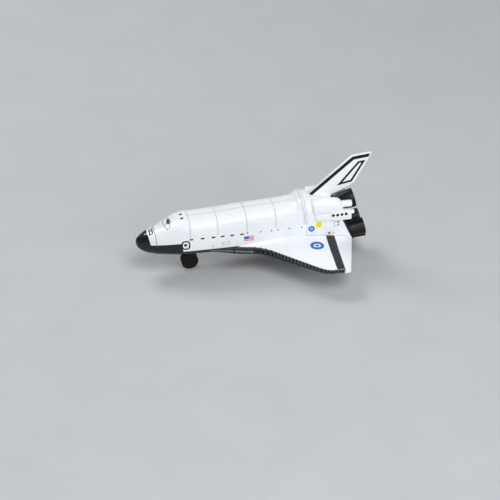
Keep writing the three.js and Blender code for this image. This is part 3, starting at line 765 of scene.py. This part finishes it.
def joined(shapes):
    """One bmesh that holds them all."""
    whole = bmesh.new()
    for shape in shapes:
        mesh = bpy.data.meshes.new("part")
        shape.to_mesh(mesh)
        shape.free()
        whole.from_mesh(mesh)
        bpy.data.meshes.remove(mesh)
    return whole


def hoop(y, low):
    """The body's section line from a height on one side, over the ridge, to the other side."""
    half = [dome_point(y, 90 * i / DOME_STEPS) for i in range(DOME_STEPS + 1)]
    if low < half[0].z:
        half = [Vector((half[0].x, body_y(y, low), low)), *half]
    else:
        half = [p for p in half if p.z > low]
    return half + [Vector((-p.x, p.y, p.z)) for p in reversed(half[:-1])]


def crown_line(y0, y1):
    """A line along the top of the body."""
    return [dome_point(mix(y0, y1, i / CROWN_LINE_STEPS), 90) for i in range(CROWN_LINE_STEPS + 1)]


def joint_lines():
    """Beads along the door joints, each with a grey line of painted shadow at its foot, the grey
    seam line along the ridge, and the line behind the cap."""
    def low(y):
        t = (y - DOOR_RIBS[0]) / (AFT_RIBS[-1][0] - DOOR_RIBS[0])
        return mix(DOOR_LOW_FRONT, DOOR_LOW_REAR, t)
    beads = [bead(hoop(y, low(y)), DOOR_RIB_RADIUS) for y in DOOR_RIBS]
    beads += [bead(hoop(y, low(y)), radius) for y, radius in AFT_RIBS]
    piece("door_joint_beads", joined(beads), ENAMEL, "white_enamel")
    places = DOOR_RIBS + [y for y, _ in AFT_RIBS]
    # Grey lines of painted shadow just behind each bead, and the grey seam line along the ridge
    shades = [bead(hoop(y + SHADE_AWAY, low(y)), SHADE_RADIUS) for y in places]
    shades.append(bead(crown_line(DOOR_RIBS[0], CROWN_LINE_END_Y), CROWN_LINE_RADIUS))
    piece("door_joint_painted_shadow_and_ridge_seam", joined(shades), SEAM_AND_SHADOW_INK, "white_enamel")
    line = bead(hoop(NOSE_LINE_Y, NOSE_LINE_LOW), NOSE_LINE_RADIUS)
    piece("nose_joint_line", line, GREY_INK, "white_enamel")


# Pad prints, drawn flat and laid on what lies under them

SIDE, TOP = "side", "top"
GRID, FINE_GRID, DISC_GRID, WING_GRID = 0.7, 0.5, 1.0, 0.9  # sizes of faces on curved surfaces
FLAT_GRID = 9  # on the flat fin
INK = 0.03  # how far a print stands off its surface
MARK_DEPTH = 0.05  # how far it reaches into it


def box_points(a, b, width, height):
    """A box round its middle."""
    return [(a - width / 2, b - height / 2), (a + width / 2, b - height / 2),
            (a + width / 2, b + height / 2), (a - width / 2, b + height / 2)]


def round_points(a, b, width, height, count=28, square=2.0):
    """An oval round its middle, squarish where square is over 2."""
    turns = [i / count * 2 * math.pi for i in range(count)]
    return [(a + width / 2 * signed_power(math.cos(t), 2 / square),
             b + height / 2 * signed_power(math.sin(t), 2 / square)) for t in turns]


def offset_line(points, distance):
    """A line beside a bent line, at a distance to its right, with mitred corners."""
    points = [Vector(p) for p in points]
    moved = []
    for i, point in enumerate(points):
        sides = [(b - a).normalized() for a, b in zip(points, points[1:])][max(i - 1, 0):i + 1]
        normals = [Vector((d.y, -d.x)) for d in sides]
        middle = sum(normals, Vector((0, 0))).normalized()
        moved.append(point + middle * distance / middle.dot(normals[0]))
    return moved


def stripe(points, near, far, tip):
    """A stripe between two distances to the right of a bent line, ending in a pointed tip."""
    return [*offset_line(points, near), tip, *reversed(offset_line(points, far))]


def sliced(bm, step):
    """Cuts the faces into a grid, so that they can follow a curved surface."""
    for axis in range(3):
        places = [vert.co[axis] for vert in bm.verts]
        count = int((max(places) - min(places)) / step)
        for i in range(1, count + 1):
            normal = Vector([float(k == axis) for k in range(3)])
            place = mix(min(places), max(places), i / (count + 1))
            bmesh.ops.bisect_plane(bm, geom=bm.verts[:] + bm.edges[:] + bm.faces[:],
                                   plane_no=normal, plane_co=normal * place)


def lay(name, shapes, finish, view, under, step=GRID, height=INK, sides=(1, -1)):
    """Prints shapes, mostly on both sides of the toy. A shape is its points, [y, z] from the side
    or [x, y] from the top, and the width of its outline, or 0 where it is filled."""
    marks = []
    for side in sides:
        for points, stroke in shapes:
            bm = bmesh.new()
            away = bm.verts.layers.float_vector.new("away")
            corners = [(side * OUTSIDE, a, b) if view == SIDE else (side * a, b, OUTSIDE)
                       for a, b in points]
            face = bm.faces.new([bm.verts.new(corner) for corner in corners])
            bm.normal_update()
            if stroke:
                bmesh.ops.inset_region(bm, faces=[face], thickness=stroke, use_even_offset=True,
                                       use_boundary=True)
                bmesh.ops.delete(bm, geom=[face], context="FACES_ONLY")
            sliced(bm, step)
            aim = Vector((-side, 0, 0) if view == SIDE else (0, 0, -1))
            for vert in bm.verts:
                hits = [tree.ray_cast(vert.co, aim) for tree in under]
                place, normal, *_ = min((hit for hit in hits if hit[0]), key=lambda hit: hit[3])
                vert[away] = normal
                vert.co = place - normal * MARK_DEPTH
            grown = bmesh.ops.extrude_face_region(bm, geom=bm.faces[:])["geom"]
            for vert in grown:
                if isinstance(vert, bmesh.types.BMVert):
                    vert.co += vert[away] * (MARK_DEPTH + height)
            bmesh.ops.recalc_face_normals(bm, faces=bm.faces)
            marks.append(bm)
    piece(name, joined(marks), finish, "white_enamel", sharp=50)


# Marks on the sides, by [y, z]. Boxes and rounds are the middle's y and z, width and height.
DASHES = [(-34.5, 22.1), (-28.7, 22.1), (-23.0, 22.1), (-18.2, 22.1), (-13.2, 22.1), (-8.1, 22.1)]
DASH = (1.9, 0.8)
PINPRICKS = [(-5.2, 22.5), (1.7, 22.4), (7.5, 22.4), (10.9, 22.4), (16.8, 22.4), (23.4, 22.4)]
PINPRICK = (0.6, 0.75)
HATCH = (-37.35, 19.0, 4.6, 5.2)
HATCH_STROKE, HATCH_SQUARENESS = 0.75, 2.8
HATCH_DOT = (-37.55, 19.1, 1.7, 1.5)
FLAG = (-7.05, -1.85, 17.9, 20.6)  # front, rear, low, top
FLAG_STRIPES = 7
THRUSTER_DOTS = [(39.8, 28.0), (42.1, 28.05), (44.35, 28.1), (46.6, 28.2)]
THRUSTER_DOT = (1.6, 1.6)
YELLOW_PANEL = [(30.95, 21.3), (33.8, 21.05), (33.95, 24.4), (31.0, 24.45)]
SIDE_DISC, SIDE_DISC_STROKE = (28.6, 20.8, 3.4, 3.4), 0.95
SIDE_DISC_DOT = (28.6, 20.8, 0.9, 0.9)
GREY_FRAMES, GREY_FRAME_STROKE = [(-16.4, 17.85, 3.9, 1.5), (41.5, 22.35, 2.15, 3.0)], 0.22
GREY_BARS = [(-23.3, 16.9, 1.5, 0.4), (40.4, 17.2, 1.3, 0.35), (26.2, 20.6, 0.16, 6.2)]
BLACK_BARS = [(43.0, 23.4, 0.5, 1.1), (43.0, 21.7, 0.5, 0.9)]
AFT_SIDE_DOT = (38.1, 17.2, 1.4, 0.95)
FIN_EDGE = [(28.9, 36.95), (51.6, 56.2), (60.0, 57.1)]
FIN_STRIPE_NEAR, FIN_STRIPE_FAR, FIN_STRIPE_TIP = 0.33, 2.25, (61.2, 56.6)
RUDDER, RUDDER_STROKE = [(43.8, 39.7), (51.8, 41.3), (58.8, 53.3), (54.8, 52.8)], 1.15

# Marks on the wings, by [x, y]. Rounds are the middle's x and y, width and length.
WING_DISC, WING_DISC_STROKE, WING_DISC_POINTS = (17.6, 29.8, 6.2, 7.3), 1.7, 48
WING_DISC_DOT, WING_DISC_DOT_POINTS = (17.6, 29.8, 1.6, 2.1), 36
TILE_STRIP = [
    (9.95, 36.2), (38.85, 35.3), (38.85, 38.8), (40.6, 38.85), (40.6, 39.3), (9.95, 40.8)]
TILE_STEP, TILE_LINE, TILE_MARGIN = 1.1, 0.35, 0.15
TILE_INK_HEIGHT = 0.09  # over the strip's own ink
ROOT_LINE = [(9.85, 26.1), (10.15, 26.1), (10.15, 49.2), (9.85, 49.2)]

# Marks on the cabin and nose, by [x, y]
CABIN_FRAME = [
    (-4.6, -46.9), (-2.0, -47.6), (2.5, -47.3), (5.9, -46.3), (4.9, -44.3), (-4.4, -44.2)]
CABIN_FRAME_STROKE = 0.42
CABIN_PANE = [(-2.8, -44.8), (-1.2, -45.6), (0.6, -45.4), (0.9, -46.4), (1.5, -46.3), (1.6, -45.2),
              (2.6, -44.7), (1.9, -43.8), (-2.4, -43.8)]
ROOF_PANE = (2.05, -37.9, 1.6, 1.55)
NOSE_PORTS = [(-1.5, -54.95), (3.5, -55.3), (3.4, -53.1), (-1.6, -52.95)]
NOSE_PORTS_STROKE = 0.62
NOSE_PORTS_BAR = (1.0, -54.1, 0.6, 0.9)


def filled(outlines):
    """Shapes without an outline's width."""
    return [(outline, 0) for outline in outlines]


def flag():
    """The flag's red stripes and blue canton."""
    front, rear, low, top = FLAG
    step = (top - low) / FLAG_STRIPES
    middle = (front + rear) / 2
    red = []
    for i in range(0, FLAG_STRIPES, 2):
        start = middle if i >= FLAG_STRIPES // 2 else front
        red.append([(start, low + i * step), (rear, low + i * step),
                    (rear, low + (i + 1) * step), (start, low + (i + 1) * step)])
    canton = low + FLAG_STRIPES // 2 * step
    return red, [[(front, canton), (middle, canton), (middle, top), (front, top)]]


def tile_lines():
    """The grey lines across the wing's black strip."""
    (x0, front0), (x1, front1), *_, (_, rear1), (_, rear0) = TILE_STRIP
    lines = []
    x = x0 + TILE_STEP
    while x < x1:
        t = (x - x0) / (x1 - x0)
        front, rear = mix(front0, front1, t), mix(rear0, rear1, t)
        lines.append(box_points(x, (front + rear) / 2, TILE_LINE, rear - front - 2 * TILE_MARGIN))
        x += TILE_STEP
    return lines


def prints(pod_skins, wing_skins, fin_skin):
    """Every printed mark. Those that cross the centre plane are laid once."""
    body_skin = [BVHTree.FromBMesh(body())]
    dashes = [box_points(y, z, *DASH) for y, z in DASHES]
    pinpricks = [box_points(y, z, *PINPRICK) for y, z in PINPRICKS]
    lay("print_side_dashes", filled(dashes + pinpricks), BLACK_INK, SIDE, body_skin)
    hatch = round_points(*HATCH, square=HATCH_SQUARENESS)
    lay("print_hatch", [(hatch, HATCH_STROKE), (round_points(*HATCH_DOT), 0)],
        BLACK_INK, SIDE, body_skin, step=FINE_GRID)
    red, blue = flag()
    lay("print_flag_stripes", filled(red), RED_INK, SIDE, body_skin)
    lay("print_flag_canton", filled(blue), BLUE_INK, SIDE, body_skin)
    dots = [round_points(y, z, *THRUSTER_DOT) for y, z in THRUSTER_DOTS]
    lay("print_thruster_dots", filled(dots), BLACK_INK, SIDE, pod_skins)
    lay("print_yellow_panel", filled([YELLOW_PANEL]), YELLOW_INK, SIDE, body_skin)
    disc = [(round_points(*SIDE_DISC), SIDE_DISC_STROKE), (round_points(*SIDE_DISC_DOT), 0)]
    lay("print_side_disc", disc, BLUE_INK, SIDE, body_skin)
    frames = [(box_points(*grey_frame), GREY_FRAME_STROKE) for grey_frame in GREY_FRAMES]
    grey_bars = [box_points(*bar) for bar in GREY_BARS]
    lay("print_side_lines", frames + filled(grey_bars), GREY_INK, SIDE, body_skin)
    black_bars = [box_points(*bar) for bar in BLACK_BARS]
    lay("print_side_bars", filled([*black_bars, round_points(*AFT_SIDE_DOT)]),
        BLACK_INK, SIDE, body_skin)
    fin_stripe = stripe(FIN_EDGE, FIN_STRIPE_NEAR, FIN_STRIPE_FAR, FIN_STRIPE_TIP)
    lay("print_fin_stripe", [(fin_stripe, 0), (RUDDER, RUDDER_STROKE)],
        BLACK_INK, SIDE, fin_skin, step=FLAT_GRID)
    disc = [(round_points(*WING_DISC, WING_DISC_POINTS), WING_DISC_STROKE),
            (round_points(*WING_DISC_DOT, WING_DISC_DOT_POINTS), 0)]
    lay("print_wing_disc", disc, BLUE_INK, TOP, wing_skins, step=DISC_GRID)
    lay("print_tile_strip", filled([TILE_STRIP]), BLACK_INK, TOP, wing_skins, step=WING_GRID)
    lay("print_tile_lines", filled(tile_lines()), TILE_INK, TOP, wing_skins, step=WING_GRID,
        height=TILE_INK_HEIGHT)
    lay("print_cabin_frame", [(CABIN_FRAME, CABIN_FRAME_STROKE)],
        GREY_INK, TOP, body_skin, step=FINE_GRID, sides=(1,))
    lay("print_cabin_pane", filled([CABIN_PANE]),
        BLACK_INK, TOP, body_skin, step=FINE_GRID, sides=(1,))
    lay("print_roof_panes", filled([round_points(*ROOF_PANE)]),
        BLACK_INK, TOP, body_skin, step=FINE_GRID)
    lay("print_nose_ports", [(NOSE_PORTS, NOSE_PORTS_STROKE), (box_points(*NOSE_PORTS_BAR), 0)],
        BLACK_INK, TOP, body_skin, step=FINE_GRID, sides=(1,))
    lay("print_root_line", filled([ROOT_LINE]), SEAM_AND_SHADOW_INK, TOP, wing_skins, step=WING_GRID)


# Running gear

WHEEL_RADIUS = 4.45
WHEEL_WALL = 0.5
AXLE_RADIUS = 0.6
BORE_RADIUS = 0.9
WHEELS = {
    # x, y, width, body of the left wheel, body of the right wheel
    "nose": (1.4, -34.1, 1.3, "nose_wheels", "nose_wheels"),
    "main": (9.8, 24.4, 3.4, "main_wheel_left", "main_wheel_right"),
}
DISH_SHARE, SHOULDER_SHARE = 0.15, 0.24  # of the wheel's width
SHOULDER_DROP, SHOULDER_STEPS = 0.6, 8  # the shoulder falls less than it reaches across
WHEEL_FACE = [  # radius, and depth as a share of the dish
    (0, 0.4), (1.1, 0.4), (1.25, 0.55), (1.4, 1), (2.85, 1), (2.98, 0.6), (3.1, 0.1)]
WHEEL_SEGMENTS = 72
AXLE_CHAMFER, AXLE_END_GAP, AXLE_SEGMENTS = 0.12, 0.1, 32
GEAR_ROUND = 0.15  # on the legs and the body flap
RIVETS = {"rivet_front": -20, "rivet_rear": 34}  # y of each
RIVET_RADIUS, RIVET_HEIGHT = 1.9, 0.5
RIVET_RIM = 0.35  # share of the height that stands straight
RIVET_CROWN_RADIUS, RIVET_CROWN_STEPS, RIVET_FULLNESS = 0.8, 8, 0.8
RIVET_DIMPLE = [(0.6, 0.08), (0.35, 0.28), (0, 0.32)]  # radius, depth
RIVET_SEGMENTS = 48


def wheel(name, hand, side):
    """A wheel with round shoulders, a dished face with a hub, and a bore closed on the outer
    side."""
    x, y, width, *bodies = WHEELS[name]
    half, dish, shoulder = width / 2, width * DISH_SHARE, width * SHOULDER_SHARE
    turns = [i / SHOULDER_STEPS * math.pi / 2 for i in range(SHOULDER_STEPS, -1, -1)]
    tread = [(WHEEL_RADIUS - shoulder * (1 - math.cos(a)) * SHOULDER_DROP,
              half - shoulder + shoulder * math.sin(a)) for a in turns]
    face = [(radius, half - depth * dish) for radius, depth in WHEEL_FACE]
    back = [(radius, -along) for radius, along in reversed(tread)]
    bore_end = half - WHEEL_WALL - dish
    profile = [*face, *tread, *back, (BORE_RADIUS, -half), (BORE_RADIUS, bore_end), (0, bore_end)]
    bm = turned(profile, WHEEL_SEGMENTS)
    bmesh.ops.scale(bm, vec=(side, 1, 1), verts=bm.verts)
    bmesh.ops.translate(bm, vec=(side * x, y, WHEEL_RADIUS), verts=bm.verts)
    node = f"{name}_wheel_{hand}"
    piece(f"{node}_tyre", bm, WHEEL_PP, "wheel_plastic", node, body=bodies[side < 0])


def axle(name):
    """A steel pin with chamfered ends, just short of the bores' ends."""
    x, y, width, *_ = WHEELS[name]
    end = x + width * (0.5 - DISH_SHARE) - WHEEL_WALL - AXLE_END_GAP
    rim = AXLE_RADIUS - AXLE_CHAMFER
    bm = turned([(0, -end), (rim, -end), (AXLE_RADIUS, AXLE_CHAMFER - end),
                 (AXLE_RADIUS, end - AXLE_CHAMFER), (rim, end), (0, end)], AXLE_SEGMENTS)
    bmesh.ops.translate(bm, vec=(0, y, WHEEL_RADIUS), verts=bm.verts)
    piece(f"{name}_axle_pin", bm, STEEL, "steel", f"{name}_axle")


def rivet(node):
    """A spun rivet head with a dimple in its middle, under the belly."""
    rim = RIVET_HEIGHT * RIVET_RIM
    profile = [(0, 0), (RIVET_RADIUS, 0), (RIVET_RADIUS, rim)]
    for i in range(1, RIVET_CROWN_STEPS + 1):
        a = i / RIVET_CROWN_STEPS * math.pi / 2
        profile.append((mix(RIVET_RADIUS, RIVET_CROWN_RADIUS, math.sin(a) ** RIVET_FULLNESS),
                        mix(rim, RIVET_HEIGHT, math.sin(a))))
    profile += [(radius, RIVET_HEIGHT - depth) for radius, depth in RIVET_DIMPLE]
    bm = turned(profile, RIVET_SEGMENTS)
    quarter_turn(bm, "Y")
    bmesh.ops.translate(bm, vec=(0, RIVETS[node], BELLY), verts=bm.verts)
    piece(f"{node}_head", bm, STEEL, "steel", node)


# Stage

FLOOR_SIZE = 3.0  # metres
SKY, SKY_STRENGTH = "#eef2f6", 0.3
# Uncoated card: pale and matt, with no reflections
CARD = material("matt_card", ("#c6c8ca", "#c2c4c6"), (0.55, 0.7), 40, 0.5, 0.002)


def floor():
    """Plain pale card under the toy."""
    bm = bmesh.new()
    bmesh.ops.create_grid(bm, x_segments=1, y_segments=1, size=FLOOR_SIZE / 2)
    mesh = bpy.data.meshes.new("floor")
    bm.to_mesh(mesh)
    bm.free()
    mesh.materials.append(CARD)
    made = bpy.data.objects.new("floor", mesh)
    bpy.context.scene.collection.objects.link(made)


LIGHTS = {
    # place in metres, size in metres, power in watts
    "key": ((0.62, 0.15, 0.95), 0.7, 6.2),
    "fill": ((0.95, 0.6, 0.4), 0.6, 2.7),
    "back": ((-0.62, -0.4, 0.8), 0.5, 4.3),
    "low": ((1.0, -0.13, 0.33), 0.14, 1.2),
}


def lights():
    """Round soft lamps that face the toy, and an even pale sky."""
    for name, (place, size, power) in LIGHTS.items():
        data = bpy.data.lights.new(name, "AREA")
        data.shape, data.size, data.energy = "DISK", size, power
        made = bpy.data.objects.new(name, data)
        bpy.context.scene.collection.objects.link(made)
        made.location = place
        made.rotation_mode = "QUATERNION"
        made.rotation_quaternion = (-Vector(place)).to_track_quat("-Z", "Y")
    world = bpy.data.worlds.new("studio")
    world.use_nodes = True
    background = world.node_tree.nodes["Background"]
    background.inputs["Color"].default_value = srgb(SKY)
    background.inputs["Strength"].default_value = SKY_STRENGTH
    bpy.context.scene.world = world
    bpy.context.scene.view_settings.view_transform = "Standard"


camera()
nose_cap()
shell()
base_plate()
pod_skins = pods()
wing_skins = wings()
fin_skin = tail_fin()
for bell_name in BELLS:
    engine_bell(bell_name)
engine_plate()
softened("body_flap")
softened("nose_gear_leg")
for leg_hand, leg_side in (("left", 1), ("right", -1)):
    softened(f"main_gear_leg_{leg_hand}")
    for wheel_name in WHEELS:
        wheel(wheel_name, leg_hand, leg_side)
for axle_name in WHEELS:
    axle(axle_name)
for rivet_name in RIVETS:
    rivet(rivet_name)
joint_lines()
prints(pod_skins, wing_skins, fin_skin)
floor()
lights()
